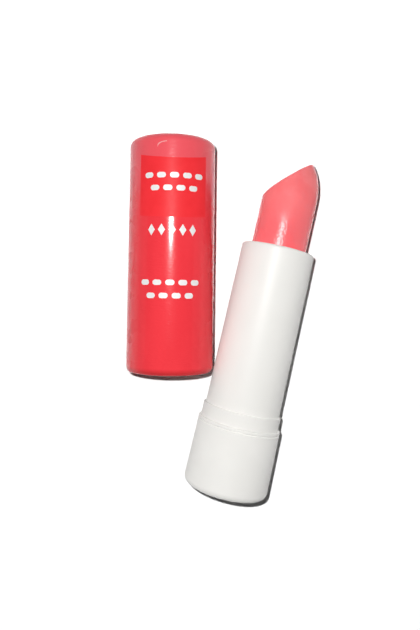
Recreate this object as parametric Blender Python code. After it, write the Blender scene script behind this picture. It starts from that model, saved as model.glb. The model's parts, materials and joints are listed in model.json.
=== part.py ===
"""Twist-up lip balm stick, lying on a table beside its own cap."""

import math

import bmesh
import bpy
from mathutils import Vector

MM = 0.001

# Clearances and cuts shared by all the pieces
RUN_GAP = 0.1 * MM
FIT_GAP = 0.06 * MM
REST_GAP = 0.3 * MM
CUT_OVERRUN = 0.5 * MM
WELD_DISTANCE = 0.001 * MM

# Balm
BALM_RADIUS = 6.05 * MM
BALM_OUT = 20.05 * MM
NOSE_LENGTH = 10.1 * MM
TIP_OFFSET = 3.1 * MM
SLANT_DEGREES = 42.3
SLANT_ROUND = 0.6 * MM
FOOT_CHAMFER = 0.4 * MM

# Cup that carries the balm, with a lug on each side
CUP_WALL = 0.4 * MM
CUP_FLOOR = 1.0 * MM
CUP_HEIGHT = 9.5 * MM
CUP_VENT_RADIUS = 1.0 * MM
CUP_RIB_COUNT = 4
CUP_RIB_WIDTH = 0.5 * MM
CUP_RIB_DEPTH = 0.35 * MM
CUP_RIB_SETBACK = 1.0 * MM
LUG_RADIUS = 0.8 * MM
LUG_HEIGHT = 2.2 * MM

# Twist: how much further the balm can rise, and the climb of one turn
RISE_TRAVEL = 2.5 * MM
SCREW_LEAD = 12.0 * MM
SCREW_STARTS = 2

# Guide tube, pressed into the base by the ribs of its foot
GUIDE_WALL = 0.42 * MM
GUIDE_SLOT_CLEARANCE = 0.15 * MM
JOURNAL_LENGTH = 6.0 * MM
BEAD_HEIGHT = 0.17 * MM
BEAD_WIDTH = 1.0 * MM
FOOT_RIB_COUNT = 12
FOOT_RIB_WIDTH = 0.9 * MM

# Screw sleeve, fast in the outer tube
SCREW_WALL = 0.36 * MM
SCREW_SLOT_CLEARANCE = 0.25 * MM
SCREW_END_RING = 5.55 * MM

# Outer tube with its collar
TUBE_WALL = 0.5 * MM
TUBE_DRAFT = 0.15 * MM
TUBE_LENGTH = 35.95 * MM
LIP_THICKNESS = 0.8 * MM
LIP_CLEARANCE = 0.25 * MM
LIP_OUTER_ROUND = 0.6 * MM
LIP_INNER_ROUND = 0.25 * MM
COLLAR_STEP = 0.4 * MM
COLLAR_HEIGHT = 3.0 * MM
COLLAR_ROUND = 0.25 * MM
SKIRT_LENGTH = 5.0 * MM
SKIRT_CLEARANCE = 0.15 * MM

# Base shell
BASE_HEIGHT = 14.7 * MM
BASE_STEP = 0.5 * MM
BASE_DRAFT = 0.15 * MM
BASE_WALL = 0.9 * MM
BASE_FLOOR = 1.2 * MM
BASE_FOOT_ROUND = 1.5 * MM
BASE_TOP_ROUND = 0.2 * MM
BASE_LEAD_IN = 0.25 * MM

# Cap, which seats on the base and clears the tube by its headroom
CAP_HEADROOM = 9.55 * MM
CAP_CLEARANCE = 0.1 * MM
CAP_WALL = 0.75 * MM
CAP_DRAFT = 0.2 * MM
CAP_END_THICKNESS = 1.2 * MM
CAP_END_ROUND = 1.5 * MM
CAP_MOUTH_ROUND = 0.3 * MM
CAP_LEAD_IN = 0.2 * MM
CAP_INNER_ROUND = 0.9 * MM
GRIP_RIB_COUNT = 6
GRIP_RIB_WIDTH = 0.8 * MM
GRIP_RIB_LENGTH = 2.6 * MM
GRIP_RIB_SETBACK = 0.6 * MM

# Place on the table: the stick leans past a corner of the cap's mouth, its base end this far back
BASE_SETBACK = 25.67 * MM
SIDE_GAP = 0.08 * MM
STICK_YAW_DEGREES = 11.9

# Facets
SEGMENTS = 48
HELIX_STEPS = 24
ROUND_STEPS = 4
NOSE_STEPS = 8
SOLVE_STEPS = 40
LUG_SEGMENTS = 16
SHARP_DEGREES = 35.0

# Radii, from the balm outwards
CUP_BORE = BALM_RADIUS + FIT_GAP
CUP_RADIUS = CUP_BORE + CUP_WALL
GUIDE_BORE = CUP_RADIUS + RUN_GAP
GUIDE_RADIUS = GUIDE_BORE + GUIDE_WALL
SCREW_BORE = GUIDE_RADIUS + RUN_GAP
SCREW_RADIUS = SCREW_BORE + SCREW_WALL
TUBE_BORE = SCREW_RADIUS + FIT_GAP
TUBE_RADIUS = TUBE_BORE + TUBE_WALL
JOURNAL_RADIUS = TUBE_BORE - RUN_GAP
LIP_BORE = BALM_RADIUS + LIP_CLEARANCE
COLLAR_RADIUS = TUBE_RADIUS + TUBE_DRAFT + COLLAR_STEP
BASE_RADIUS = COLLAR_RADIUS + BASE_STEP
BASE_BORE = BASE_RADIUS - BASE_WALL
SKIRT_RADIUS = BASE_BORE - SKIRT_CLEARANCE
CAP_BORE = COLLAR_RADIUS + CAP_CLEARANCE
CAP_RADIUS = CAP_BORE + CAP_WALL

# Heights along the stick, from the bottom of the base
COLLAR_LOW = BASE_HEIGHT + REST_GAP
COLLAR_TOP = COLLAR_LOW + COLLAR_HEIGHT
MOUTH = COLLAR_TOP + TUBE_LENGTH
LIP_UNDERSIDE = MOUTH - LIP_THICKNESS
SKIRT_LOW = COLLAR_LOW - SKIRT_LENGTH
BEAD_MIDDLE = COLLAR_LOW - SKIRT_LENGTH / 2
FOOT_LOW = BASE_FLOOR + REST_GAP
FOOT_TOP = SKIRT_LOW - REST_GAP
JOURNAL_TOP = FOOT_TOP + JOURNAL_LENGTH
SCREW_LOW = JOURNAL_TOP + REST_GAP
SCREW_TOP = LIP_UNDERSIDE - REST_GAP
CUP_TOP = SCREW_TOP - RISE_TRAVEL
CUP_LOW = CUP_TOP - CUP_HEIGHT
LUG_MIDDLE = CUP_LOW + LUG_HEIGHT
SINK_TRAVEL = LUG_MIDDLE - SCREW_END_RING - SCREW_LOW
BALM_FOOT = CUP_LOW + CUP_FLOOR + REST_GAP
BALM_TIP = MOUTH + BALM_OUT
NOSE_LOW = BALM_TIP - NOSE_LENGTH * math.sqrt(1 - (TIP_OFFSET / BALM_RADIUS) ** 2)
CAP_LENGTH = MOUTH - BASE_HEIGHT + CAP_HEADROOM + CAP_END_THICKNESS


def clear_scene():
    """Remove what a new file holds."""
    for thing in list(bpy.data.objects):
        bpy.data.objects.remove(thing, do_unlink=True)


def arc(middle, radius, start_degrees, end_degrees):
    """Points of an outline's round edge, as (radius, height) pairs."""
    points = []
    for step in range(ROUND_STEPS + 1):
        share = step / ROUND_STEPS
        angle = math.radians(start_degrees + (end_degrees - start_degrees) * share)
        points.append((middle[0] + radius * math.cos(angle), middle[1] + radius * math.sin(angle)))
    return points


def finish(name, bm, parent, material):
    """Make an object of the bmesh, facing outwards and shaded smooth."""
    bmesh.ops.remove_doubles(bm, verts=bm.verts, dist=WELD_DISTANCE)
    bmesh.ops.recalc_face_normals(bm, faces=bm.faces)
    mesh = bpy.data.meshes.new(name)
    bm.to_mesh(mesh)
    bm.free()
    mesh.shade_smooth()
    mesh.set_sharp_from_angle(angle=math.radians(SHARP_DEGREES))
    thing = bpy.data.objects.new(name, mesh)
    thing.parent = parent
    if material:
        mesh.materials.append(material)
    bpy.context.scene.collection.objects.link(thing)
    return thing


def turned(name, outline, is_ring, parent, material):
    """Turn an outline of (radius, height) points about the local Z axis."""
    bm = bmesh.new()
    verts = [bm.verts.new((radius, 0, height)) for radius, height in outline]
    edges = [bm.edges.new(pair) for pair in zip(verts, verts[1:])]
    if is_ring:
        edges.append(bm.edges.new((verts[-1], verts[0])))
    bmesh.ops.spin(
        bm,
        geom=verts + edges,
        cent=(0, 0, 0),
        axis=(0, 0, 1),
        angle=math.tau,
        steps=SEGMENTS,
        use_merge=True,
    )
    return finish(name, bm, parent, material)


def turn_about_axis(verts, angle):
    """Turn vertices about the local Z axis."""
    for vert in verts:
        x, y, z = vert.co
        vert.co = (x * math.cos(angle) - y * math.sin(angle), x * math.sin(angle) + y * math.cos(angle), z)


def block(bm, low, high, angle=0.0):
    """Add a box between two corners, turned about the local Z axis."""
    corners = [(x, y, z) for x in (low[0], high[0]) for y in (low[1], high[1]) for z in (low[2], high[2])]
    verts = [bm.verts.new(corner) for corner in corners]
    for face in ((0, 1, 3, 2), (4, 6, 7, 5), (0, 4, 5, 1), (2, 3, 7, 6), (0, 2, 6, 4), (1, 5, 7, 3)):
        bm.faces.new([verts[index] for index in face])
    turn_about_axis(verts, angle)


def upright_ribs(name, count, width, radii, heights, parent):
    """Evenly spaced upright ribs, from one radius to another."""
    bm = bmesh.new()
    for index in range(count):
        low = (radii[0], -width / 2, heights[0])
        high = (radii[1], width / 2, heights[1])
        block(bm, low, high, math.tau * (index + 0.5) / count)
    return finish(name, bm, parent, None)


def combine(target, tool, operation):
    """Cut a hidden tool from its target, or join it on."""
    modifier = target.modifiers.new(tool.name, "BOOLEAN")
    modifier.operation = operation
    modifier.solver = "EXACT"
    modifier.object = tool
    tool.hide_render = True
    tool.display_type = "WIRE"


def plastic(name, color, roughness):
    """Plain material of one colour."""
    material = bpy.data.materials.new(name)
    material.use_nodes = True
    shader = material.node_tree.nodes["Principled BSDF"]
    shader.inputs["Base Color"].default_value = (*color, 1.0)
    shader.inputs["Roughness"].default_value = roughness
    shader.inputs["Metallic"].default_value = 0.0
    return material


def empty(name, parent):
    """Frame that carries the pieces of one body."""
    frame = bpy.data.objects.new(name, None)
    frame.parent = parent
    bpy.context.scene.collection.objects.link(frame)
    return frame


def base_shell(parent):
    """Closed shell that the fingers turn."""
    foot_radius = BASE_RADIUS + BASE_DRAFT
    outline = [(0, 0)]
    outline += arc((foot_radius - BASE_FOOT_ROUND, BASE_FOOT_ROUND), BASE_FOOT_ROUND, -90, 0)
    outline += arc((BASE_RADIUS - BASE_TOP_ROUND, BASE_HEIGHT - BASE_TOP_ROUND), BASE_TOP_ROUND, 0, 90)
    outline += [
        (BASE_BORE + BASE_LEAD_IN, BASE_HEIGHT),
        (BASE_BORE, BASE_HEIGHT - BASE_LEAD_IN),
        (BASE_BORE, BASE_FLOOR),
        (0, BASE_FLOOR),
    ]
    return turned("base_shell", outline, False, parent, plastic("base_white", (0.86, 0.85, 0.82), 0.32))


def guide_tube(parent):
    """Slotted tube that keeps the cup from turning, with a bead that the outer tube snaps over."""
    bead_low = BEAD_MIDDLE - BEAD_WIDTH / 2
    bead_high = BEAD_MIDDLE + BEAD_WIDTH / 2
    outline = [
        (GUIDE_BORE, FOOT_LOW),
        (JOURNAL_RADIUS, FOOT_LOW),
        (JOURNAL_RADIUS, bead_low),
        (JOURNAL_RADIUS + BEAD_HEIGHT, BEAD_MIDDLE),
        (JOURNAL_RADIUS, bead_high),
        (JOURNAL_RADIUS, JOURNAL_TOP),
        (GUIDE_RADIUS, JOURNAL_TOP),
        (GUIDE_RADIUS, SCREW_TOP),
        (GUIDE_BORE, SCREW_TOP),
    ]
    tube = turned("guide_tube", outline, True, parent, plastic("guide_white", (0.84, 0.84, 0.82), 0.4))
    combine(tube, foot_ribs(parent), "UNION")
    combine(tube, guide_slots(parent), "DIFFERENCE")
    return tube


def foot_ribs(parent):
    """Upright ribs that hold the guide tube's foot in the base."""
    radii = (JOURNAL_RADIUS - GUIDE_WALL, BASE_BORE - FIT_GAP)
    return upright_ribs(
        "foot_ribs", FOOT_RIB_COUNT, FOOT_RIB_WIDTH, radii, (FOOT_LOW + REST_GAP, FOOT_TOP), parent
    )


def guide_slots(parent):
    """Cutter for the two straight slots that the lugs slide in."""
    half_width = LUG_RADIUS + GUIDE_SLOT_CLEARANCE
    reach = GUIDE_RADIUS + CUT_OVERRUN
    bm = bmesh.new()
    block(
        bm,
        (-reach, -half_width, LUG_MIDDLE - SINK_TRAVEL - half_width),
        (reach, half_width, LUG_MIDDLE + RISE_TRAVEL + half_width),
    )
    return finish("guide_slots", bm, parent, None)


def outer_tube(parent):
    """Visible tube with its lip, collar and the skirt that turns inside the base."""
    groove_low = BEAD_MIDDLE - BEAD_WIDTH / 2 - REST_GAP
    groove_high = BEAD_MIDDLE + BEAD_WIDTH / 2 + REST_GAP
    outline = arc((LIP_BORE + LIP_INNER_ROUND, MOUTH - LIP_INNER_ROUND), LIP_INNER_ROUND, 180, 90)
    outline += arc((TUBE_RADIUS - LIP_OUTER_ROUND, MOUTH - LIP_OUTER_ROUND), LIP_OUTER_ROUND, 90, 0)
    outline += [(TUBE_RADIUS + TUBE_DRAFT, COLLAR_TOP)]
    outline += arc((COLLAR_RADIUS - COLLAR_ROUND, COLLAR_TOP - COLLAR_ROUND), COLLAR_ROUND, 90, 0)
    outline += [
        (COLLAR_RADIUS, COLLAR_LOW),
        (SKIRT_RADIUS, COLLAR_LOW),
        (SKIRT_RADIUS, SKIRT_LOW),
        (TUBE_BORE, SKIRT_LOW),
        (TUBE_BORE, groove_low),
        (TUBE_BORE + BEAD_HEIGHT, BEAD_MIDDLE),
        (TUBE_BORE, groove_high),
        (TUBE_BORE, LIP_UNDERSIDE),
        (LIP_BORE, LIP_UNDERSIDE),
    ]
    return turned("outer_tube", outline, True, parent, plastic("tube_white", (0.87, 0.86, 0.83), 0.3))


def screw_sleeve(parent):
    """Sleeve fast in the outer tube, slotted through along a two-start helix."""
    outline = [
        (SCREW_BORE, SCREW_LOW),
        (SCREW_RADIUS, SCREW_LOW),
        (SCREW_RADIUS, SCREW_TOP),
        (SCREW_BORE, SCREW_TOP),
    ]
    sleeve = turned("screw_sleeve", outline, True, parent, plastic("screw_white", (0.8, 0.8, 0.78), 0.45))
    for start in range(SCREW_STARTS):
        combine(sleeve, helical_slot(start, parent), "DIFFERENCE")
    return sleeve


def helical_slot(start, parent):
    """Cutter along a right-handed helix, as long as the stroke and a lug's clearance at each end.

    Its corners lie midway between those of the sleeve, so that no two edges meet.
    """
    half_height = LUG_RADIUS + SCREW_SLOT_CLEARANCE
    step_angle = math.tau / HELIX_STEPS
    end_angle = half_height / SCREW_BORE
    low_angle = -math.tau * SINK_TRAVEL / SCREW_LEAD - end_angle
    high_angle = math.tau * RISE_TRAVEL / SCREW_LEAD + end_angle
    offset_share = HELIX_STEPS / SEGMENTS / 2
    first = math.floor(low_angle / step_angle - offset_share) + offset_share
    last = math.ceil(high_angle / step_angle - offset_share) + offset_share
    rise = SCREW_LEAD / HELIX_STEPS
    inner = SCREW_BORE - RUN_GAP / 2
    outer = SCREW_RADIUS + CUT_OVERRUN
    low = LUG_MIDDLE + rise * first
    corners = ((inner, -half_height), (outer, -half_height), (outer, half_height), (inner, half_height))
    bm = bmesh.new()
    verts = [bm.verts.new((radius, 0, low + side)) for radius, side in corners]
    section = bm.faces.new(verts)
    turn_about_axis(verts, step_angle * first + math.tau * start / SCREW_STARTS)
    bmesh.ops.spin(
        bm,
        geom=[section],
        cent=(0, 0, 0),
        axis=(0, 0, 1),
        dvec=(0, 0, rise),
        angle=step_angle * (last - first),
        steps=round(last - first),
        use_merge=False,
    )
    return finish(f"helical_slot_{start + 1}", bm, parent, None)


def carrier_cup(parent):
    """Cup that carries the balm, with a lug on each side reaching into the helical slots."""
    outline = [
        (CUP_VENT_RADIUS, CUP_LOW),
        (CUP_RADIUS, CUP_LOW),
        (CUP_RADIUS, CUP_TOP),
        (CUP_BORE, CUP_TOP),
        (CUP_BORE, CUP_LOW + CUP_FLOOR),
        (CUP_VENT_RADIUS, CUP_LOW + CUP_FLOOR),
    ]
    cup = turned("carrier_cup", outline, True, parent, plastic("cup_white", (0.82, 0.82, 0.8), 0.4))
    radii = (CUP_BORE - CUP_RIB_DEPTH, CUP_BORE + CUP_WALL / 2)
    heights = (CUP_LOW + CUP_FLOOR / 2, CUP_TOP - CUP_RIB_SETBACK)
    combine(cup, upright_ribs("cup_ribs", CUP_RIB_COUNT, CUP_RIB_WIDTH, radii, heights, parent), "UNION")
    for side in (1, -1):
        combine(cup, lug(side, parent), "UNION")
    return cup


def lug(side, parent):
    """Round peg standing out of the cup's wall."""
    inner = CUP_BORE + CUP_WALL / 2
    outer = SCREW_RADIUS - RUN_GAP
    bm = bmesh.new()
    rim = []
    for step in range(LUG_SEGMENTS):
        angle = math.tau * (step + 0.5) / LUG_SEGMENTS
        place = (side * inner, LUG_RADIUS * math.cos(angle), LUG_MIDDLE + LUG_RADIUS * math.sin(angle))
        rim.append(bm.verts.new(place))
    face = bm.faces.new(rim)
    grown = bmesh.ops.extrude_face_region(bm, geom=[face], use_keep_orig=True)
    moved = [item for item in grown["geom"] if isinstance(item, bmesh.types.BMVert)]
    bmesh.ops.translate(bm, verts=moved, vec=(side * (outer - inner), 0, 0))
    return finish("lug_right" if side > 0 else "lug_left", bm, parent, None)


def balm_radius(height):
    """Radius of the balm before its slanted cut: a round bar with an elliptical nose."""
    share = max(0, (height - NOSE_LOW) / NOSE_LENGTH)
    return BALM_RADIUS * math.sqrt(1 - share**2)


def slant_height(x):
    """Height of the slanted cut, whose high side is at +X and ends at the tip."""
    return BALM_TIP + (x - TIP_OFFSET) * math.tan(math.radians(SLANT_DEGREES))


def rim_point(angle):
    """Where the slanted cut meets the balm's side, found by halving."""
    low = BALM_FOOT
    high = BALM_TIP
    for _ in range(SOLVE_STEPS):
        middle = (low + high) / 2
        if slant_height(balm_radius(middle) * math.cos(angle)) > middle:
            low = middle
        else:
            high = middle
    return side_point(angle, low)


def side_point(angle, height):
    """Point on the balm's side."""
    radius = balm_radius(height)
    return Vector((radius * math.cos(angle), radius * math.sin(angle), height))


def balm_bullet(parent):
    """Moulded balm: a round bar whose nose is cut on a slant, grooved where the cup's ribs bite."""
    angles = [math.tau * index / SEGMENTS for index in range(SEGMENTS)]
    rims = [rim_point(angle) for angle in angles]
    cut_middle = sum(rims, Vector()) / len(rims)
    straight_top = min(rim.z for rim in rims) - NOSE_LENGTH / NOSE_STEPS
    foot_radius = BALM_RADIUS - FOOT_CHAMFER
    rings = [[Vector((foot_radius * math.cos(angle), foot_radius * math.sin(angle), BALM_FOOT)) for angle in angles]]
    rings.append([side_point(angle, BALM_FOOT + FOOT_CHAMFER) for angle in angles])
    for step in range(NOSE_STEPS + 1):
        ring = []
        for angle, rim in zip(angles, rims):
            ring.append(side_point(angle, straight_top + (rim.z - SLANT_ROUND - straight_top) * step / NOSE_STEPS))
        rings.append(ring)
    for step in range(1, ROUND_STEPS + 1):
        share = step / ROUND_STEPS
        ring = []
        for side, rim in zip(rings[NOSE_STEPS + 2], rims):
            inward = rim + (cut_middle - rim).normalized() * SLANT_ROUND
            ring.append(side * (1 - share) ** 2 + rim * 2 * share * (1 - share) + inward * share**2)
        rings.append(ring)
    balm = lofted("balm_bullet", rings, parent, plastic("balm_pink", (0.9, 0.2, 0.22), 0.35))
    radii = (CUP_BORE - CUP_RIB_DEPTH - FIT_GAP, BALM_RADIUS + CUT_OVERRUN)
    heights = (BALM_FOOT - CUT_OVERRUN, CUP_TOP - CUP_RIB_SETBACK + REST_GAP)
    width = CUP_RIB_WIDTH + 2 * FIT_GAP
    combine(balm, upright_ribs("balm_grooves", CUP_RIB_COUNT, width, radii, heights, parent), "DIFFERENCE")
    return balm


def lofted(name, rings, parent, material):
    """Skin a stack of rings and close both ends."""
    bm = bmesh.new()
    loops = [[bm.verts.new(point) for point in ring] for ring in rings]
    for below, above in zip(loops, loops[1:]):
        for index in range(len(below)):
            after = (index + 1) % len(below)
            bm.faces.new((below[index], below[after], above[after], above[index]))
    bm.faces.new(loops[0])
    bm.faces.new(loops[-1])
    return finish(name, bm, parent, material)


def cap_radius(height):
    """Outer radius of the cap, which narrows towards its closed end."""
    return CAP_RADIUS - CAP_DRAFT * height / CAP_LENGTH


def cap_shell(parent):
    """Closed cap with low grip ribs just inside its mouth."""
    shoulder = CAP_LENGTH - CAP_END_ROUND
    ceiling = CAP_LENGTH - CAP_END_THICKNESS
    end_bore = CAP_BORE - CAP_DRAFT
    outline = [(0, ceiling)]
    outline += arc((end_bore - CAP_INNER_ROUND, ceiling - CAP_INNER_ROUND), CAP_INNER_ROUND, 90, 0)
    outline += [(CAP_BORE, CAP_LEAD_IN), (CAP_BORE + CAP_LEAD_IN, 0)]
    outline += arc((CAP_RADIUS - CAP_MOUTH_ROUND, CAP_MOUTH_ROUND), CAP_MOUTH_ROUND, -90, 0)
    outline += arc((cap_radius(shoulder) - CAP_END_ROUND, shoulder), CAP_END_ROUND, 0, 90)
    outline += [(0, CAP_LENGTH)]
    cap = turned("cap_shell", outline, False, parent, plastic("cap_red", (0.85, 0.05, 0.06), 0.15))
    combine(cap, grip_ribs(parent), "UNION")
    return cap


def grip_ribs(parent):
    """Low ribs inside the cap's mouth that pinch the collar."""
    heights = (GRIP_RIB_SETBACK, GRIP_RIB_SETBACK + GRIP_RIB_LENGTH)
    radii = (COLLAR_RADIUS, CAP_BORE + CAP_WALL / 2)
    return upright_ribs("grip_ribs", GRIP_RIB_COUNT, GRIP_RIB_WIDTH, radii, heights, parent)


def stick_place():
    """Where the stick's base end lies, so that its tube just clears the right corner of the cap's mouth."""
    yaw = math.radians(STICK_YAW_DEGREES)
    reach = TUBE_RADIUS + TUBE_DRAFT + SIDE_GAP - BASE_SETBACK * math.sin(yaw)
    return CAP_RADIUS + reach / math.cos(yaw), -BASE_SETBACK


def lay_down(frame, place, yaw_degrees, near_edge, far_edge):
    """Lay an upright round body on two of its edges, each a (radius, height) pair, pointing along +Y."""
    tilt = math.atan2(near_edge[0] - far_edge[0], far_edge[1] - near_edge[1])
    axis_height = near_edge[0] * math.cos(tilt) + near_edge[1] * math.sin(tilt)
    frame.rotation_euler = (-math.pi / 2 - tilt, 0, -math.radians(yaw_degrees))
    frame.location = (place[0], place[1], axis_height)


def centre_on_table(frame):
    """Put the origin under the middle of the whole footprint, at the table's height."""
    bpy.context.view_layer.update()
    depsgraph = bpy.context.evaluated_depsgraph_get()
    corners = []
    for thing in bpy.context.scene.objects:
        if thing.type == "MESH" and not thing.hide_render:
            mesh = thing.evaluated_get(depsgraph).to_mesh()
            corners += [thing.matrix_world @ vert.co for vert in mesh.vertices]
    for axis in range(3):
        low = min(corner[axis] for corner in corners)
        high = max(corner[axis] for corner in corners)
        frame.location[axis] -= low if axis == 2 else (low + high) / 2
    bpy.context.view_layer.update()


def main():
    """Build the stick and its cap."""
    clear_scene()
    table = empty("table_place", None)
    stick = empty("stick_axis", table)
    twist = empty("tube_twist_axis", stick)
    carrier = empty("carrier_axis", stick)
    cap = empty("cap_axis", table)

    base_shell(stick)
    guide_tube(stick)
    outer_tube(twist)
    screw_sleeve(twist)
    carrier_cup(carrier)
    balm_bullet(carrier)
    cap_shell(cap)

    lay_down(
        stick,
        stick_place(),
        STICK_YAW_DEGREES,
        (BASE_RADIUS, BASE_HEIGHT - BASE_TOP_ROUND),
        (TUBE_RADIUS, MOUTH - LIP_OUTER_ROUND),
    )
    lay_down(cap, (0, 0), 0, (CAP_RADIUS, 0), (cap_radius(CAP_LENGTH), CAP_LENGTH))
    centre_on_table(table)


main()
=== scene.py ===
"""Looks of a twist-up lip balm stick that lies on a white table beside its own red cap."""

import json
import math

import bmesh
import bpy
from mathutils import Matrix, Vector, noise


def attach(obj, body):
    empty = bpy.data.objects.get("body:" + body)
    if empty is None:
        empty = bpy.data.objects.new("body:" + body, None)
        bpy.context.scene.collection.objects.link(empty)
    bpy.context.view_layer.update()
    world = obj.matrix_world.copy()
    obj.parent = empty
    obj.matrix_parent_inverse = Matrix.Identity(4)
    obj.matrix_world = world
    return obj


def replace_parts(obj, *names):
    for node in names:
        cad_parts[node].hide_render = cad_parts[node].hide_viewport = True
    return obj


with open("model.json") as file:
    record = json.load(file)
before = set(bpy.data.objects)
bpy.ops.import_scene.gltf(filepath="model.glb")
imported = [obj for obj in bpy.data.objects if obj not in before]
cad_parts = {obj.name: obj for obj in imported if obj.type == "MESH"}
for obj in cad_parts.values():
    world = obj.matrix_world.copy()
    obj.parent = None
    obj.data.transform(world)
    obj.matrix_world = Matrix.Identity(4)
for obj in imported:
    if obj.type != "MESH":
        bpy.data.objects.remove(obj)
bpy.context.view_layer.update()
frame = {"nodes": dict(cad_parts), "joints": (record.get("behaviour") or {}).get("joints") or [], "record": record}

MM = 0.001
MICRON = 0.000001
OWN_PLACE = "own_place"

# Base, upright from its closed end
BASE_HEIGHT = 14.99 * MM
BASE_RADIUS = 9.1 * MM
BASE_DRAFT = 0.15 * MM
BASE_BORE = 8.2 * MM
BASE_FLOOR = 1.2 * MM
BASE_FOOT_ROUND = 1.5 * MM
BASE_TOP_ROUND = 0.25 * MM
BASE_LINE_PLACE = 14.25 * MM
BASE_LINE_HALF_WIDTH = 0.17 * MM
BASE_LINE_DEPTH = 0.18 * MM
BASE_LEAD_IN = 0.25 * MM
GATE_RADIUS = 0.9 * MM
GATE_FLAT_RADIUS = 0.81 * MM
GATE_DEPTH = 0.15 * MM

# Outer tube with its collar and the skirt inside the base
COLLAR_LOW = 15.0 * MM
COLLAR_TOP = 18.0 * MM
COLLAR_RADIUS = 8.6 * MM
COLLAR_ROUND = 0.18 * MM
COLLAR_FILLET = 0.05 * MM
SKIRT_RADIUS = 8.05 * MM
SKIRT_LOW = 10.0 * MM
TUBE_RADIUS = 8.05 * MM
TUBE_DRAFT = 0.15 * MM
TUBE_BORE = 7.55 * MM
MOUTH = 53.95 * MM
LIP_THICKNESS = 0.8 * MM
LIP_BORE = 6.3 * MM
LIP_OUTER_ROUND = 0.6 * MM
LIP_INNER_ROUND = 0.25 * MM
BEAD_MIDDLE = 12.5 * MM
BEAD_HALF_WIDTH = 0.8 * MM
BEAD_HEIGHT = 0.17 * MM

# Balm
BALM_RADIUS = 6.05 * MM
BALM_FOOT = 42.15 * MM
BALM_TIP = 73.95 * MM
FOOT_CHAMFER = 0.4 * MM
GROOVE_TOP = 49.65 * MM
GROOVE_RADIUS = 5.7 * MM
GROOVE_HALF_WIDTH = 0.31 * MM
GROOVE_COUNT = 4
NOSE_LENGTH = 10.1 * MM
TIP_OFFSET = 3.3 * MM
SLANT_DEGREES = 42.3
SLANT_TIP_ROUND = 0.2 * MM
SLANT_HEEL_ROUND = 1.0 * MM
WAX_SWELL = 0.03 * MM
WAX_SWELL_SIZE = 4.0 * MM

# Cap, from its mouth to its closed end
CAP_LENGTH = 50.0 * MM
CAP_RADIUS = 9.45 * MM
CAP_BORE = 8.7 * MM
CAP_DRAFT = 0.2 * MM
CAP_END_THICKNESS = 1.2 * MM
CAP_END_ROUND = 1.5 * MM
CAP_MOUTH_ROUND = 1.3 * MM
CAP_MOUTH_DROP = 0.6 * MM
CAP_LEAD_IN = 0.1 * MM
CAP_INNER_ROUND = 0.9 * MM
GRIP_RIB_COUNT = 6
GRIP_RIB_HALF_WIDTH = 0.4 * MM
GRIP_RIB_RADIUS = 8.6 * MM
GRIP_RIB_LOW = 0.6 * MM
GRIP_RIB_HIGH = 3.2 * MM

# Printed film and plain marks on the cap
FILM_LOW = 32.6 * MM
FILM_HIGH = 44.8 * MM
FILM_LOW_BOW = 0.45 * MM
FILM_HIGH_BOW = 0.9 * MM
FILM_HALF_DEGREES = 46.0
FILM_OFFSET = 0.84 * MM
FILM_THICKNESS = 0.012 * MM
INK_THICKNESS = 0.015 * MM
STUCK_GAP = 0.003 * MM
DASH_LENGTH = 1.9 * MM
DASH_HEIGHT = 1.15 * MM
DASH_PITCH = 2.7 * MM
DASH_BLUNT_SHARE = 0.05
LOZENGE_WIDTH = 1.5 * MM
LOZENGE_HEIGHT = 2.4 * MM
LOZENGE_PITCH = 2.2 * MM
LOZENGE_BLUNT_SHARE = 0.04
UPPER_MARKS = ((1.0 * MM, 41.2 * MM, 5), (1.0 * MM, 38.6 * MM, 4))
LOZENGE_PLACE = (0.7 * MM, 30.0 * MM)
LOZENGE_COUNT = 5
LOWER_MARKS = ((0.4 * MM, 19.2 * MM, 5), (0.4 * MM, 16.5 * MM, 4))
PALE_ARC_START = (-2.65 * MM, 47.1 * MM)
PALE_ARC_SIZE = (2.0 * MM, 1.0 * MM)
PALE_ARC_WIDTH = 0.13 * MM
PALE_ARC_LEAST_SINE = 0.35

# Facets
SEGMENTS = 192
ROUND_STEPS = 10
WALL_STEPS = 24
NOSE_STEPS = 24
FACE_STEPS = 12
MARK_STEPS = 12
FILM_STEPS = 48
SOLVE_STEPS = 40
SHARP_DEGREES = 35.0

# Detail of noise, and the (low, high) pairs that values are spread from or to
SMOOTH_DETAIL = 1.0
DETAIL = 2.0
FINE_DETAIL = 3.0
FINEST_DETAIL = 4.0
FULL = (0, 1)
CLOUD_RANGE = (0.35, 0.65)
PATCH_RANGE = (0.3, 0.7)
GLANCE_RANGE = (0.5, 0.75)

# White plastics: the two colours and the two roughnesses that each clouds between
# The base's whites are a little brighter than the tube's: painted light that makes up for the key lamp's fall-off
# towards the base
BASE_BRIGHTENED_WHITES = ((0.9, 0.89, 0.86), (0.88, 0.87, 0.84))
BASE_ROUGHNESS = (0.38, 0.42)
TUBE_WHITES = ((0.88, 0.87, 0.84), (0.87, 0.86, 0.83))
TUBE_ROUGHNESS = (0.4, 0.44)
INNER_WHITES = ((0.8, 0.8, 0.78), (0.77, 0.77, 0.75))
INNER_ROUGHNESS = (0.4, 0.55)
WHITE_CLOUD_SIZE = 7 * MM
WHITE_PATCH_SIZE = 5 * MM
WHITE_WAVE_SIZE = 6 * MM
WHITE_WAVE_DEPTH = 12 * MICRON
WHITE_GRAIN_SIZE = 0.25 * MM
WHITE_GRAIN_DEPTH = 1.5 * MICRON

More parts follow.
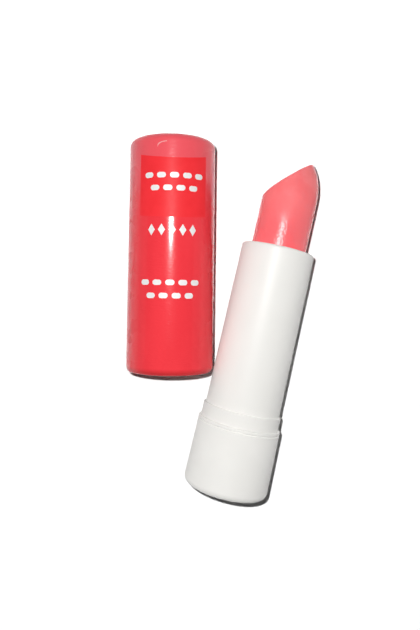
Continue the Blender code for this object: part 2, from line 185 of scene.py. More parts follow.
# Red plastic of the cap
CAP_REDS = ((0.92, 0.051, 0.067), (0.89, 0.045, 0.06))
# Paler red from the film up to the closed end: a painted reflection of the bright surroundings
CAP_END_REFLECTION_RED = (0.9, 0.11, 0.135)
# Darker red at the mouth rim: painted shade where the rim's round turns away from the light
CAP_RIM_SHADE_RED = (0.55, 0.026, 0.03)
CAP_RIM_SHADE_REACH = (0.3 * MM, 1.6 * MM)
CAP_RIM_SHADE_SHARE = 0.75
CAP_ROUGHNESS = (0.24, 0.3)
CAP_CLOUD_SIZE = 6 * MM
CAP_CLOUD_STRETCH = (1, 1, 0.3)
CAP_PATCH_SIZE = 5 * MM
CAP_RIPPLE_SIZE = 0.7 * MM
CAP_RIPPLE_STRETCH = (0.9, 0.9, 2.0)
CAP_RIPPLE_DEPTH = 45 * MICRON
CAP_WAVE_SIZE = 5 * MM
CAP_WAVE_STRETCH = (1, 1, 0.4)
CAP_WAVE_DEPTH = 10 * MICRON

# Film, ink and the pale arc
FILM_REDS = ((0.92, 0.04, 0.05), (0.89, 0.036, 0.045))
FILM_ROUGHNESS = (0.4, 0.46)
FILM_CLOUD_SIZE = 4 * MM
FILM_PATCH_SIZE = 0.6 * MM
FILM_GRAIN_SIZE = 0.3 * MM
FILM_GRAIN_DEPTH = 1.0 * MICRON
INK_WHITES = ((0.93, 0.93, 0.92), (0.85, 0.83, 0.83))
INK_CLOUD_SIZE = 0.6 * MM
INK_ROUGHNESS = (0.35, 0.5)
PALE_ARC_PINKS = ((0.9, 0.5, 0.5), (0.85, 0.36, 0.36))
PALE_ARC_CLOUD_SIZE = 0.3 * MM
PALE_ARC_ROUGHNESS = (0.45, 0.6)
MARK_PATCH_SIZE = 0.4 * MM
MARK_GRAIN_SIZE = 0.15 * MM
MARK_GRAIN_DEPTH = 2 * MICRON

# Wax of the balm, from the tube's mouth up
WAX_MOUTH_PINK = (1.0, 0.178, 0.198)
WAX_TIP_PINK = (1.0, 0.255, 0.262)
WAX_CLOUD_PINK = (0.98, 0.198, 0.212)
WAX_CLOUD_SIZE = 3.5 * MM
WAX_CLOUD_RANGE = (0.35, 0.7)
WAX_GLOSS_REACH = (MOUTH + 4 * MM, MOUTH + 9 * MM)
WAX_ROUGHNESS = (0.28, 0.62)
WAX_GLANCING_ROUGHNESS = 0.2
WAX_SCRAPE_REACH = (MOUTH + 2 * MM, MOUTH + 9 * MM)
WAX_SCRAPE_SIZE = 0.5 * MM
WAX_SCRAPE_DEPTH = 70 * MICRON
WAX_SCRAPE_REST = (0.5, 0.5, 0.5)
WAX_GRAIN_SIZE = 0.8 * MM
WAX_GRAIN_DEPTH = 25 * MICRON
WAX_WAVE_SIZE = 2.0 * MM
WAX_WAVE_DEPTH = 40 * MICRON

# Sockets of the Mix node, for numbers and for colours
MIX_FACTOR = 0
MIX_NUMBERS = (2, 3)
MIX_NUMBER_RESULT = 0
MIX_COLORS = (6, 7)
MIX_COLOR_RESULT = 2

# Camera: straight down, a little above the middle of the picture
CAMERA_PLACE = (-2.75 * MM, 6.18 * MM, 140.0 * MM)
CAMERA_TURN_DEGREES = 0.945
CAMERA_LENS = 34.0
CAMERA_SHIFT = (-0.0002, -0.0376)

# Light
KEY_OFFSET = (-6.8 * MM, 6.8 * MM)
KEY_RADIUS = 0.6 * MM
KEY_STRENGTH = 0.9
GLINT_OFFSET = (-4.0 * MM, 32.0 * MM)
GLINT_RADIUS = 8.0 * MM
GLINT_STRENGTH = 1.5
WORLD_STRENGTH = 0.03

# Floor and backdrop: reaches from the middle of the floor, and the (near, far) greys between them
FLOOR_RADIUS = 500.0 * MM
WALL_RADIUS = 1000.0 * MM
SWEEP_STEPS = 32
FLOOR_DROP = 0.02 * MM
FLOOR_SEEN_REACH = (20.0 * MM, 90.0 * MM)
FLOOR_SEEN_GREYS = (1.12, 1.65)
BACKDROP_REACH = (75.0 * MM, 130.0 * MM)
BACKDROP_STRENGTHS = (1.05, 0.4)
FLOOR_GREYS = (0.7, 0.25)


def lying_frame(origin, axis):
    """Frame of a round piece that lies on its side: Z along its axis, X level and Y down."""
    z = Vector(axis).normalized()
    x = z.cross(Vector((0, 0, 1))).normalized()
    y = z.cross(x)
    place = Matrix((x, y, z)).transposed().to_4x4()
    place.translation = Vector(origin)
    return place


def stick_frame():
    """The stick's frame, from the joint that its tube turns on."""
    twist = next(joint for joint in frame["joints"] if joint["name"] == "tube_twist")
    return lying_frame(twist["pos_m"], twist["axis"])


def cap_frame():
    """The cap's frame, from the flat of its closed end."""
    end = next(mount for mount in frame["record"]["mounts"] if mount["name"] == "cap_end")
    axis = Vector(end["axis"]).normalized()
    return lying_frame(Vector(end["pos_m"]) - axis * CAP_LENGTH, axis)


def arc(middle, radius, start_degrees, end_degrees):
    """Points of an outline's round edge, as (radius, height) pairs."""
    points = []
    for step in range(ROUND_STEPS + 1):
        angle = math.radians(start_degrees + (end_degrees - start_degrees) * step / ROUND_STEPS)
        points.append((middle[0] + radius * math.cos(angle), middle[1] + radius * math.sin(angle)))
    return points


def wall(start, end):
    """Evenly spaced points of a long straight wall, without its ends."""
    points = []
    for step in range(1, WALL_STEPS):
        share = step / WALL_STEPS
        radius = start[0] + (end[0] - start[0]) * share
        height = start[1] + (end[1] - start[1]) * share
        points.append((radius, height))
    return points


def ring_angles():
    """Angles of a full turn."""
    return [math.tau * index / SEGMENTS for index in range(SEGMENTS)]


def round_point(radius, angle, height):
    """Point at an angle about Z."""
    return Vector((radius * math.cos(angle), radius * math.sin(angle), height))


def ring(radius, height):
    """Circle of points about Z."""
    return [round_point(radius, angle, height) for angle in ring_angles()]


def add_object(name, data):
    """Put a new object with this data into the scene."""
    thing = bpy.data.objects.new(name, data)
    bpy.context.scene.collection.objects.link(thing)
    return thing


def finish_mesh(name, bm, place, material, body):
    """Make a piece of the bmesh, shade it and let it ride on its body."""
    bmesh.ops.recalc_face_normals(bm, faces=bm.faces)
    mesh = bpy.data.meshes.new(name)
    bm.to_mesh(mesh)
    bm.free()
    own_place = mesh.attributes.new(OWN_PLACE, "FLOAT_VECTOR", "POINT")
    own_place.data.foreach_set("vector", [axis for vert in mesh.vertices for axis in vert.co])
    mesh.transform(place)
    mesh.shade_smooth()
    mesh.set_sharp_from_angle(angle=math.radians(SHARP_DEGREES))
    mesh.materials.append(material)
    piece = add_object(name, mesh)
    weighted = piece.modifiers.new("even_shading", "WEIGHTED_NORMAL")
    weighted.keep_sharp = True
    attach(piece, body)
    return piece


def skin(rings, is_loop):
    """Closed surface over a stack of rings, which closes on itself or ends in two fans."""
    bm = bmesh.new()
    loops = [[bm.verts.new(point) for point in points] for points in rings]
    pairs = list(zip(loops, loops[1:]))
    if is_loop:
        pairs.append((loops[-1], loops[0]))
    for below, above in pairs:
        for index in range(len(below)):
            after = (index + 1) % len(below)
            bm.faces.new((below[index], below[after], above[after], above[index]))
    if not is_loop:
        for loop in (loops[0], loops[-1]):
            middle = bm.verts.new(sum((vert.co for vert in loop), Vector()) / len(loop))
            for index in range(len(loop)):
                bm.faces.new((loop[index], loop[(index + 1) % len(loop)], middle))
    return bm


def base_skin(place, material):
    """The shell that the fingers turn, with a fine line below its rim and a gate mark."""
    foot = BASE_RADIUS + BASE_DRAFT
    outline = [(GATE_RADIUS / 2, GATE_DEPTH), (GATE_FLAT_RADIUS, GATE_DEPTH), (GATE_RADIUS, 0)]
    outline += arc((foot - BASE_FOOT_ROUND, BASE_FOOT_ROUND), BASE_FOOT_ROUND, -90, 0)
    line_low = (BASE_RADIUS, BASE_LINE_PLACE - BASE_LINE_HALF_WIDTH)
    outline += wall((foot, BASE_FOOT_ROUND), line_low)
    outline += [
        line_low,
        (BASE_RADIUS - BASE_LINE_DEPTH, BASE_LINE_PLACE),
        (BASE_RADIUS, BASE_LINE_PLACE + BASE_LINE_HALF_WIDTH),
    ]
    rim_middle = (BASE_RADIUS - BASE_TOP_ROUND, BASE_HEIGHT - BASE_TOP_ROUND)
    outline += arc(rim_middle, BASE_TOP_ROUND, 0, 90)
    outline += [
        (BASE_BORE + BASE_LEAD_IN, BASE_HEIGHT),
        (BASE_BORE, BASE_HEIGHT - BASE_LEAD_IN),
        (BASE_BORE, BASE_FLOOR),
    ]
    bm = skin([ring(*point) for point in outline], False)
    piece = finish_mesh("base_skin", bm, place, material, "base")
    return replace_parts(piece, "base_shell")


def tube_skin(place, material):
    """The tube with its rounded lip, its collar and the skirt that turns inside the base."""
    foot = TUBE_RADIUS + TUBE_DRAFT
    outline = arc((LIP_BORE + LIP_INNER_ROUND, MOUTH - LIP_INNER_ROUND), LIP_INNER_ROUND, 180, 90)
    outline += arc((TUBE_RADIUS - LIP_OUTER_ROUND, MOUTH - LIP_OUTER_ROUND), LIP_OUTER_ROUND, 90, 0)
    outline += wall((TUBE_RADIUS, MOUTH - LIP_OUTER_ROUND), (foot, COLLAR_TOP + COLLAR_FILLET))
    outline += arc((foot + COLLAR_FILLET, COLLAR_TOP + COLLAR_FILLET), COLLAR_FILLET, 180, 270)
    outline += arc((COLLAR_RADIUS - COLLAR_ROUND, COLLAR_TOP - COLLAR_ROUND), COLLAR_ROUND, 90, 0)
    outline += [
        (COLLAR_RADIUS, COLLAR_LOW),
        (SKIRT_RADIUS, COLLAR_LOW),
        (SKIRT_RADIUS, SKIRT_LOW),
        (TUBE_BORE, SKIRT_LOW),
        (TUBE_BORE, BEAD_MIDDLE - BEAD_HALF_WIDTH),
        (TUBE_BORE + BEAD_HEIGHT, BEAD_MIDDLE),
        (TUBE_BORE, BEAD_MIDDLE + BEAD_HALF_WIDTH),
        (TUBE_BORE, MOUTH - LIP_THICKNESS),
        (LIP_BORE, MOUTH - LIP_THICKNESS),
    ]
    bm = skin([ring(*point) for point in outline], True)
    piece = finish_mesh("tube_skin", bm, place, material, "tube")
    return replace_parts(piece, "outer_tube")


def nose_low():
    """Height at which the balm's nose starts to narrow."""
    return BALM_TIP - NOSE_LENGTH * math.sqrt(1 - (TIP_OFFSET / BALM_RADIUS) ** 2)


def balm_radius(height):
    """Radius of the balm before its slanted cut: a round bar with an elliptical nose."""
    share = max(0, (height - nose_low()) / NOSE_LENGTH)
    return BALM_RADIUS * math.sqrt(1 - share**2)


def side_point(angle, height):
    """Point on the balm's side."""
    return round_point(balm_radius(height), angle, height)


def rim_point(angle):
    """Where the slanted cut meets the balm's side, found by halving."""
    low = BALM_FOOT
    high = BALM_TIP
    slope = math.tan(math.radians(SLANT_DEGREES))
    for _ in range(SOLVE_STEPS):
        middle = (low + high) / 2
        if BALM_TIP + (balm_radius(middle) * math.cos(angle) - TIP_OFFSET) * slope > middle:
            low = middle
        else:
            high = middle
    return side_point(angle, low)


def slant_round(angle):
    """Size of the slanted cut's soft edge, least at the tip and most at the heel."""
    share = (1 + math.cos(angle)) / 2
    return SLANT_HEEL_ROUND + (SLANT_TIP_ROUND - SLANT_HEEL_ROUND) * share


def is_in_groove(angle):
    """Whether an angle of the balm's foot faces one of the cup's ribs."""
    pitch = math.tau / GROOVE_COUNT
    off = (angle + pitch / 2) % pitch - pitch / 2
    return abs(off) * BALM_RADIUS < GROOVE_HALF_WIDTH


def foot_ring(radius, height):
    """Circle of the balm's foot, drawn in where the cup's ribs bite."""
    points = []
    for angle in ring_angles():
        drawn = min(radius, GROOVE_RADIUS) if is_in_groove(angle) else radius
        points.append(round_point(drawn, angle, height))
    return points


def swollen(point, cut_middle):
    """A point of the balm moved by the wax's gentle unevenness, which fades in above the mouth."""
    share = min(1, max(0, (point.z - MOUTH) / WAX_SWELL_SIZE))
    fade = share**2 * (3 - 2 * share)
    push = (point - Vector((0, 0, min(point.z, cut_middle.z)))).normalized()
    return point + push * noise.noise(point / WAX_SWELL_SIZE) * WAX_SWELL * fade


def balm_skin(place, material):
    """The moulded balm: a round bar whose nose is cut on a slant."""
    angles = ring_angles()
    rims = [rim_point(angle) for angle in angles]
    cut_middle = sum(rims, Vector()) / len(rims)
    straight_top = min(rim.z for rim in rims) - SLANT_HEEL_ROUND - NOSE_LENGTH / NOSE_STEPS
    rings = [
        foot_ring(BALM_RADIUS - FOOT_CHAMFER, BALM_FOOT),
        foot_ring(BALM_RADIUS, BALM_FOOT + FOOT_CHAMFER),
        foot_ring(BALM_RADIUS, GROOVE_TOP),
        ring(BALM_RADIUS, GROOVE_TOP),
    ]
    straight = wall((BALM_RADIUS, GROOVE_TOP), (BALM_RADIUS, straight_top))
    rings += [ring(*point) for point in straight]
    for step in range(NOSE_STEPS + 1):
        share = step / NOSE_STEPS
        rings.append([
            side_point(angle, straight_top + (rim.z - slant_round(angle) - straight_top) * share)
            for angle, rim in zip(angles, rims)
        ])
    sides = rings[-1]
    inwards = [
        rim + (cut_middle - rim).normalized() * slant_round(angle)
        for angle, rim in zip(angles, rims)
    ]
    for step in range(1, ROUND_STEPS + 1):
        share = step / ROUND_STEPS
        rings.append([
            side * (1 - share) ** 2 + rim * 2 * share * (1 - share) + inward * share**2
            for side, rim, inward in zip(sides, rims, inwards)
        ])
    for step in range(1, FACE_STEPS):
        share = step / FACE_STEPS
        rings.append([inward.lerp(cut_middle, share) for inward in inwards])
    rings = [[swollen(point, cut_middle) for point in points] for points in rings]
    bm = skin(rings, False)
    piece = finish_mesh("balm_skin", bm, place, material, "carrier")
    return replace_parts(piece, "balm_bullet")


def cap_radius(height):
    """Outer radius of the cap, which narrows towards its closed end."""
    return CAP_RADIUS - CAP_DRAFT * height / CAP_LENGTH


def grip_ring(radius, height):
    """Circle of the cap's bore, drawn in at the grip ribs."""
    pitch = math.tau / GRIP_RIB_COUNT
    points = []
    for angle in ring_angles():
        off = angle % pitch - pitch / 2
        drawn = GRIP_RIB_RADIUS if abs(off) * radius < GRIP_RIB_HALF_WIDTH else radius
        points.append(round_point(drawn, angle, height))
    return points


def cap_skin(place, material):
    """The closed cap, softly turned in at its mouth, with low grip ribs just inside."""
    shoulder = CAP_LENGTH - CAP_END_ROUND
    ceiling = CAP_LENGTH - CAP_END_THICKNESS
    end_bore = CAP_BORE - CAP_DRAFT
    inside = arc((end_bore - CAP_INNER_ROUND, ceiling - CAP_INNER_ROUND), CAP_INNER_ROUND, 90, 0)
    inside += wall((end_bore, ceiling - CAP_INNER_ROUND), (CAP_BORE, GRIP_RIB_HIGH))
    outside = [(CAP_BORE, CAP_LEAD_IN), (CAP_BORE + CAP_LEAD_IN, 0)]
    edge = cap_radius(CAP_MOUTH_ROUND)
    for step in range(ROUND_STEPS + 1):
        angle = math.pi / 2 * step / ROUND_STEPS
        radius = edge - CAP_MOUTH_DROP * (1 - math.sin(angle))
        outside.append((radius, CAP_MOUTH_ROUND * (1 - math.cos(angle))))
    outside += wall((edge, CAP_MOUTH_ROUND), (cap_radius(shoulder), shoulder))
    outside += arc((cap_radius(shoulder) - CAP_END_ROUND, shoulder), CAP_END_ROUND, 0, 90)
    outside += [(GATE_RADIUS, CAP_LENGTH), (GATE_FLAT_RADIUS, CAP_LENGTH - GATE_DEPTH)]
    rings = [ring(*point) for point in inside]
    rings += [ring(CAP_BORE, GRIP_RIB_HIGH), grip_ring(CAP_BORE, GRIP_RIB_HIGH)]
    rings += [grip_ring(CAP_BORE, GRIP_RIB_LOW), ring(CAP_BORE, GRIP_RIB_LOW)]
    rings += [ring(*point) for point in outside]
    bm = skin(rings, False)
    piece = finish_mesh("cap_skin", bm, place, material, "cap")
    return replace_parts(piece, "cap_shell")


def cap_point(across, height, lift):
    """Point on the cap, at a length across from its top line and a lift above its surface."""
    radius = cap_radius(height)
    angle = across / radius
    return Vector(((radius + lift) * math.sin(angle), -(radius + lift) * math.cos(angle), height))


def patch(bm, columns, lift, thickness):
    """Add a thin closed patch that lies on the cap. Each column is (across, low, high)."""
    layers = []
    for level in (lift, lift + thickness):
        lows = [bm.verts.new(cap_point(across, low, level)) for across, low, high in columns]
        highs = [bm.verts.new(cap_point(across, high, level)) for across, low, high in columns]
        layers.append((lows, highs))
    (under_low, under_high), (over_low, over_high) = layers
    for index in range(len(columns) - 1):
        after = index + 1
        bm.faces.new((over_low[index], over_low[after], over_high[after], over_high[index]))
        bm.faces.new((under_low[index], under_high[index], under_high[after], under_low[after]))
        bm.faces.new((under_low[index], under_low[after], over_low[after], over_low[index]))
        bm.faces.new((under_high[index], over_high[index], over_high[after], under_high[after]))
    for index in (0, -1):
        bm.faces.new((under_low[index], over_low[index], over_high[index], under_high[index]))


def dash_columns(across, height):
    """Columns of a dash with round ends."""
    end = DASH_HEIGHT / 2
    straight = DASH_LENGTH / 2 - end
    columns = []
    for step in range(MARK_STEPS + 1):
        angle = math.pi * step / MARK_STEPS
        side = -math.cos(angle)
        half = max(end * math.sin(angle), end * DASH_BLUNT_SHARE)
        middle = across + math.copysign(straight, side) + end * side
        columns.append((middle, height - half, height + half))
    return columns


def lozenge_columns(across, height):
    """Columns of an upright lozenge."""
    columns = []
    for step in range(MARK_STEPS + 1):
        side = 2 * step / MARK_STEPS - 1
        half = LOZENGE_HEIGHT / 2 * max(1 - abs(side), LOZENGE_BLUNT_SHARE)
        columns.append((across + LOZENGE_WIDTH / 2 * side, height - half, height + half))
    return columns


def row_places(middle, count, pitch):
    """Even places across the cap, about the row's middle."""
    return [middle + pitch * (index - (count - 1) / 2) for index in range(count)]


def dashes(name, rows, lift, place, material):
    """Rows of printed dashes."""
    bm = bmesh.new()
    for middle, height, count in rows:
        for across in row_places(middle, count, DASH_PITCH):
            patch(bm, dash_columns(across, height), lift, INK_THICKNESS)
    return finish_mesh(name, bm, place, material, "cap")


def lozenges(place, material):
    """One row of printed lozenges."""
    bm = bmesh.new()
    middle, height = LOZENGE_PLACE
    for across in row_places(middle, LOZENGE_COUNT, LOZENGE_PITCH):
        patch(bm, lozenge_columns(across, height), STUCK_GAP, INK_THICKNESS)
    return finish_mesh("middle_print", bm, place, material, "cap")


def end_pale_arc(place, material):
    """Short curved pale mark near the closed end."""
    bm = bmesh.new()
    columns = []
    for step in range(MARK_STEPS + 1):
        angle = math.pi / 2 * step / MARK_STEPS
        across = PALE_ARC_START[0] + PALE_ARC_SIZE[0] * (1 - math.cos(angle))
        height = PALE_ARC_START[1] + PALE_ARC_SIZE[1] * math.sin(angle)
        half = PALE_ARC_WIDTH / 2 / max(math.sin(angle), PALE_ARC_LEAST_SINE)
        columns.append((across, height - half, height + half))
    patch(bm, columns, STUCK_GAP, INK_THICKNESS)
    return finish_mesh("end_pale_arc", bm, place, material, "cap")


def film(place, material):
    """Plain panel of film over the cap's top line, whose edges rise a little at its sides."""
    bm = bmesh.new()
    reach = math.radians(FILM_HALF_DEGREES) * CAP_RADIUS
    columns = []
    for step in range(FILM_STEPS + 1):
        side = 2 * step / FILM_STEPS - 1
        low = FILM_LOW + FILM_LOW_BOW * side**2
        high = FILM_HIGH + FILM_HIGH_BOW * side**2
        columns.append((FILM_OFFSET + reach * side, low, high))
    patch(bm, columns, STUCK_GAP, FILM_THICKNESS)
    return finish_mesh("label_film", bm, place, material, "cap")


def eased(nodes, links, value, from_range, to_range):
    """A value eased from one (low, high) range to another, and held to it."""
    node = nodes.new("ShaderNodeMapRange")
    node.interpolation_type = "SMOOTHSTEP"
    sockets = ("From Min", "From Max", "To Min", "To Max")
    for socket, number in zip(sockets, (*from_range, *to_range)):
        node.inputs[socket].default_value = number
    links.new(value, node.inputs["Value"])
    return node.outputs["Result"]


class Finish:
    """Node material around one Principled shader, in the piece's own coordinates."""

    def __init__(self, name, settings, has_own_place=True):
        self.material = bpy.data.materials.new(name)
        self.material.use_nodes = True
        self.nodes = self.material.node_tree.nodes
        self.links = self.material.node_tree.links
        self.shader = self.nodes["Principled BSDF"]
        if has_own_place:
            own = self.nodes.new("ShaderNodeAttribute")
            own.attribute_name = OWN_PLACE
            self.place = own.outputs["Vector"]
        else:
            self.place = self.nodes.new("ShaderNodeTexCoord").outputs["Object"]
        for socket, value in settings.items():
            self.shader.inputs[socket].default_value = value

    def stretched(self, stretch):
        """The piece's coordinates, scaled along each axis."""
        mapping = self.nodes.new("ShaderNodeMapping")
        mapping.inputs["Scale"].default_value = stretch
        self.links.new(self.place, mapping.inputs["Vector"])
        return mapping.outputs["Vector"]

    def noise(self, size, detail=DETAIL, stretch=(1, 1, 1)):
        """Noise whose blobs are about as large as the size given."""
        texture = self.nodes.new("ShaderNodeTexNoise")
        texture.inputs["Scale"].default_value = 1 / size
        texture.inputs["Detail"].default_value = detail
        self.links.new(self.stretched(stretch), texture.inputs["Vector"])
        return texture.outputs["Fac"]

    def spread(self, value, from_range, to_range):
        """A value eased from one (low, high) range to another, and held to it."""
        return eased(self.nodes, self.links, value, from_range, to_range)

    def height(self):
        """Height along the piece's axis."""
        node = self.nodes.new("ShaderNodeSeparateXYZ")
        self.links.new(self.place, node.inputs["Vector"])
        return node.outputs["Z"]

    def blend(self, factor, first, second):
        """Mix of two colours, each a value or another node's output."""
        node = self.nodes.new("ShaderNodeMix")
        node.data_type = "RGBA"
        self.links.new(factor, node.inputs[MIX_FACTOR])
        for index, color in zip(MIX_COLORS, (first, second)):
            if isinstance(color, tuple):
                node.inputs[index].default_value = (*color, 1)
            else:
                self.links.new(color, node.inputs[index])
        return node.outputs[MIX_COLOR_RESULT]

    def bump(self, value, depth, normal=None):
        """Relief of a given depth, on top of another relief if one is given."""
        node = self.nodes.new("ShaderNodeBump")
        node.inputs["Distance"].default_value = depth
        self.links.new(value, node.inputs["Height"])
        if normal:
            self.links.new(normal, node.inputs["Normal"])
        return node.outputs["Normal"]

    def keener(self, rough, edge_rough):
        """Roughness that gives way to gloss at a glancing look."""
        node = self.nodes.new("ShaderNodeMix")
        facing = self.nodes.new("ShaderNodeLayerWeight").outputs["Facing"]
        plain, glancing = MIX_NUMBERS
        self.links.new(self.spread(facing, GLANCE_RANGE, FULL), node.inputs[MIX_FACTOR])
        self.links.new(rough, node.inputs[plain])
        node.inputs[glancing].default_value = edge_rough
        return node.outputs[MIX_NUMBER_RESULT]

    def use(self, socket, value):
        """Feed one of the shader's sockets."""
        self.links.new(value, self.shader.inputs[socket])


def white_plastic(name, colors, roughness, has_own_place=True):
    """Softly glossy moulded plastic, with faint clouding, fine grain and gentle waves."""
    settings = {"IOR": 1.46, "Specular IOR Level": 0.2, "Diffuse Roughness": 0.35}
    look = Finish(name, settings, has_own_place)
    clouds = look.spread(look.noise(WHITE_CLOUD_SIZE), CLOUD_RANGE, FULL)
    look.use("Base Color", look.blend(clouds, *colors))
    patches = look.noise(WHITE_PATCH_SIZE, SMOOTH_DETAIL)
    look.use("Roughness", look.spread(patches, PATCH_RANGE, roughness))
    grain = look.bump(look.noise(WHITE_GRAIN_SIZE, FINE_DETAIL), WHITE_GRAIN_DEPTH)
    waves = look.noise(WHITE_WAVE_SIZE, SMOOTH_DETAIL)
    look.use("Normal", look.bump(waves, WHITE_WAVE_DEPTH, grain))
    return look.material


def cap_plastic():
    """Glossy red plastic, faintly rippled, with a paler painted reflection towards its closed end and painted
    shade darkening its rim.
    """
    settings = {
        "IOR": 1.45,
        "Specular IOR Level": 0.06,
        "Diffuse Roughness": 0.15,
        "Coat Weight": 0.52,
        "Coat Roughness": 0.14,
    }
    look = Finish("cap_red", settings)
    clouds = look.spread(look.noise(CAP_CLOUD_SIZE, DETAIL, CAP_CLOUD_STRETCH), CLOUD_RANGE, FULL)
    # Paler towards the closed end: painted reflection, not the plastic's own colour
    pale = look.spread(look.height(), (FILM_LOW, FILM_HIGH), FULL)
    body = look.blend(pale, look.blend(clouds, *CAP_REDS), CAP_END_REFLECTION_RED)
    # Darker at the mouth rim: painted shade, not the plastic's own colour
    rim = look.spread(look.height(), CAP_RIM_SHADE_REACH, (CAP_RIM_SHADE_SHARE, 0))
    look.use("Base Color", look.blend(rim, body, CAP_RIM_SHADE_RED))
    look.use("Roughness", look.spread(look.noise(CAP_PATCH_SIZE), PATCH_RANGE, CAP_ROUGHNESS))
    ripple = look.noise(CAP_RIPPLE_SIZE, SMOOTH_DETAIL, CAP_RIPPLE_STRETCH)
    waves = look.noise(CAP_WAVE_SIZE, SMOOTH_DETAIL, CAP_WAVE_STRETCH)
    look.use("Normal", look.bump(waves, CAP_WAVE_DEPTH, look.bump(ripple, CAP_RIPPLE_DEPTH)))
    return look.material


def film_plastic():
    """Red printed film, duller than the plastic around it."""
    look = Finish("film_red", {"IOR": 1.4, "Specular IOR Level": 0.1, "Diffuse Roughness": 0.3})
    clouds = look.spread(look.noise(FILM_CLOUD_SIZE), CLOUD_RANGE, FULL)
    look.use("Base Color", look.blend(clouds, *FILM_REDS))
    patches = look.noise(FILM_PATCH_SIZE, FINEST_DETAIL)
    look.use("Roughness", look.spread(patches, PATCH_RANGE, FILM_ROUGHNESS))
    look.use("Normal", look.bump(look.noise(FILM_GRAIN_SIZE, FINE_DETAIL), FILM_GRAIN_DEPTH))
    return look.material


def mark_finish(name, colors, cloud_size, roughness):
    """A small mark's finish, a little uneven in colour, gloss and height."""
    look = Finish(name, {"IOR": 1.45})
    look.use("Base Color", look.blend(look.noise(cloud_size, FINE_DETAIL), *colors))
    look.use("Roughness", look.spread(look.noise(MARK_PATCH_SIZE), PATCH_RANGE, roughness))
    look.use("Normal", look.bump(look.noise(MARK_GRAIN_SIZE), MARK_GRAIN_DEPTH))
    return look.material


def wax():
    """Pink wax: soft sheen, light passing under its surface, fine scrapes above the mouth."""
    settings = {
        "IOR": 1.45,
        "Specular IOR Level": 0.3,
        "Diffuse Roughness": 0.6,
        "Subsurface Weight": 0.3,
        "Subsurface Scale": 1.2 * MM,
        "Subsurface Radius": (1.0, 0.35, 0.3),
        "Sheen Weight": 0.05,
        "Sheen Roughness": 0.4,
        "Sheen Tint": (1.0, 0.4, 0.4, 1),
    }
    look = Finish("pink_wax", settings)
    pale = look.spread(look.height(), (MOUTH, BALM_TIP), FULL)
    base = look.blend(pale, WAX_MOUTH_PINK, WAX_TIP_PINK)
    clouds = look.spread(look.noise(WAX_CLOUD_SIZE, FINE_DETAIL), WAX_CLOUD_RANGE, FULL)
    look.use("Base Color", look.blend(clouds, base, WAX_CLOUD_PINK))
    rough = look.spread(look.height(), WAX_GLOSS_REACH, WAX_ROUGHNESS)
    look.use("Roughness", look.keener(rough, WAX_GLANCING_ROUGHNESS))
    rest = look.spread(look.height(), WAX_SCRAPE_REACH, FULL)
    scrapes = look.blend(rest, look.noise(WAX_SCRAPE_SIZE), WAX_SCRAPE_REST)
    scraped = look.bump(scrapes, WAX_SCRAPE_DEPTH)
    grain = look.bump(look.noise(WAX_GRAIN_SIZE), WAX_GRAIN_DEPTH, scraped)
    look.use("Normal", look.bump(look.noise(WAX_WAVE_SIZE), WAX_WAVE_DEPTH, grain))
    return look.material


def dress_inner_nodes(material):
    """Give the sealed inner pieces, which keep their own shape, the plain inner plastic."""
    for name in ("guide_tube", "screw_sleeve", "carrier_cup"):
        node = frame["nodes"][name]
        node.data.materials.clear()
        node.data.materials.append(material)


def floor():
    """Pale table that curves up into a wall all round."""
    bm = bmesh.new()
    outline = [(FLOOR_RADIUS, 0)]
    sweep = WALL_RADIUS - FLOOR_RADIUS
    for step in range(1, SWEEP_STEPS + 1):
        angle = math.pi / 2 * step / SWEEP_STEPS
        outline.append((FLOOR_RADIUS + sweep * math.sin(angle), sweep * (1 - math.cos(angle))))
    loops = [[bm.verts.new(point) for point in ring(*pair)] for pair in outline]
    bm.faces.new(loops[0])
    for below, above in zip(loops, loops[1:]):
        for index in range(SEGMENTS):
            after = (index + 1) % SEGMENTS
            bm.faces.new((below[index], below[after], above[after], above[index])).smooth = True
    mesh = bpy.data.meshes.new("floor")
    bm.to_mesh(mesh)
    bm.free()
    mesh.materials.append(floor_material())
    thing = add_object("floor", mesh)
    thing.location.z = -FLOOR_DROP


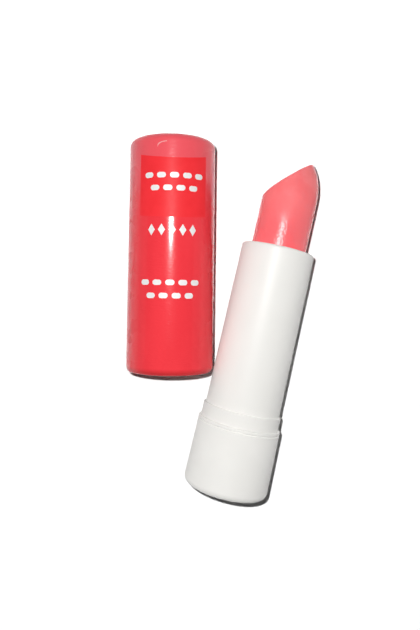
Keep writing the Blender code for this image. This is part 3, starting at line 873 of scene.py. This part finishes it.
def floor_material():
    """Matt floor that keeps the shadows near the object.

    To the eye and in gloss it turns into a pale backdrop further out, which greys towards the wall.
    """
    material = bpy.data.materials.new("floor_white")
    material.use_nodes = True
    nodes = material.node_tree.nodes
    links = material.node_tree.links
    nodes.clear()
    rays = nodes.new("ShaderNodeLightPath")
    seen = rays.outputs["Is Camera Ray"]
    for kind in ("Is Glossy Ray", "Is Transmission Ray"):
        either = nodes.new("ShaderNodeMath")
        either.operation = "MAXIMUM"
        links.new(seen, either.inputs[0])
        links.new(rays.outputs[kind], either.inputs[1])
        seen = either.outputs["Value"]
    reach = nodes.new("ShaderNodeVectorMath")
    reach.operation = "LENGTH"
    links.new(nodes.new("ShaderNodeTexCoord").outputs["Object"], reach.inputs[0])
    reach = reach.outputs["Value"]
    unseen_grey = eased(nodes, links, reach, (BACKDROP_REACH[1], FLOOR_RADIUS), FLOOR_GREYS)
    seen_grey = eased(nodes, links, reach, FLOOR_SEEN_REACH, FLOOR_SEEN_GREYS)
    color = nodes.new("ShaderNodeMix")
    links.new(seen, color.inputs[MIX_FACTOR])
    for index, grey in zip(MIX_NUMBERS, (unseen_grey, seen_grey)):
        links.new(grey, color.inputs[index])
    matt = nodes.new("ShaderNodeBsdfDiffuse")
    links.new(color.outputs[MIX_NUMBER_RESULT], matt.inputs["Color"])
    glow = nodes.new("ShaderNodeEmission")
    strength = eased(nodes, links, reach, (BACKDROP_REACH[1], WALL_RADIUS), BACKDROP_STRENGTHS)
    links.new(strength, glow.inputs["Strength"])
    share = nodes.new("ShaderNodeMath")
    share.operation = "MULTIPLY"
    links.new(seen, share.inputs[0])
    links.new(eased(nodes, links, reach, BACKDROP_REACH, FULL), share.inputs[1])
    surface = nodes.new("ShaderNodeMixShader")
    links.new(share.outputs["Value"], surface.inputs[0])
    links.new(matt.outputs["BSDF"], surface.inputs[1])
    links.new(glow.outputs["Emission"], surface.inputs[2])
    output = nodes.new("ShaderNodeOutputMaterial")
    links.new(surface.outputs["Shader"], output.inputs["Surface"])
    return material


def lamp(name, offset, radius, strength):
    """Small round lamp beside the camera, whose light fades slowly across the table."""
    light = bpy.data.lights.new(name, "POINT")
    light.shadow_soft_size = radius
    light.energy = strength
    light.use_nodes = True
    nodes = light.node_tree.nodes
    falloff = nodes.new("ShaderNodeLightFalloff")
    # Cancels the fall-off down to the table, so that the energy is the brightness there
    falloff.inputs["Strength"].default_value = 4 * math.pi * math.pi * CAMERA_PLACE[2]
    light.node_tree.links.new(falloff.outputs["Linear"], nodes["Emission"].inputs["Strength"])
    thing = add_object(name, light)
    thing.location = (CAMERA_PLACE[0] + offset[0], CAMERA_PLACE[1] + offset[1], CAMERA_PLACE[2])
    return thing


def lamps():
    """One small lamp near the camera for light and shadow, one further off for the glint."""
    lamp("key", KEY_OFFSET, KEY_RADIUS, KEY_STRENGTH).visible_glossy = False
    lamp("glint", GLINT_OFFSET, GLINT_RADIUS, GLINT_STRENGTH).visible_diffuse = False


def sky():
    """Faint even light from all round."""
    world = bpy.data.worlds.new("sky")
    world.use_nodes = True
    background = world.node_tree.nodes["Background"]
    background.inputs["Color"].default_value = (1, 1, 1, 1)
    background.inputs["Strength"].default_value = WORLD_STRENGTH
    bpy.context.scene.world = world


def camera():
    """Camera straight above the table."""
    lens = bpy.data.cameras.new("camera")
    lens.lens = CAMERA_LENS
    lens.shift_x, lens.shift_y = CAMERA_SHIFT
    lens.clip_start = MM
    thing = add_object("camera", lens)
    thing.location = CAMERA_PLACE
    thing.rotation_euler = (0, 0, math.radians(CAMERA_TURN_DEGREES))
    bpy.context.scene.camera = thing
    bpy.context.scene.view_settings.view_transform = "Standard"


def main():
    """Dress the frame and set the stage."""
    stick = stick_frame()
    cap = cap_frame()
    base_skin(stick, white_plastic("base_white", BASE_BRIGHTENED_WHITES, BASE_ROUGHNESS))
    tube_skin(stick, white_plastic("tube_white", TUBE_WHITES, TUBE_ROUGHNESS))
    dress_inner_nodes(white_plastic("inner_white", INNER_WHITES, INNER_ROUGHNESS, False))
    balm_skin(stick, wax())
    cap_skin(cap, cap_plastic())
    film(cap, film_plastic())
    marks = mark_finish("white_ink", INK_WHITES, INK_CLOUD_SIZE, INK_ROUGHNESS)
    dashes("upper_print", UPPER_MARKS, STUCK_GAP + FILM_THICKNESS, cap, marks)
    lozenges(cap, marks)
    end_pale_arc(cap, mark_finish("pale_arc_red", PALE_ARC_PINKS, PALE_ARC_CLOUD_SIZE, PALE_ARC_ROUGHNESS))
    dashes("lower_print", LOWER_MARKS, STUCK_GAP, cap, marks)
    floor()
    lamps()
    sky()
    camera()


main()
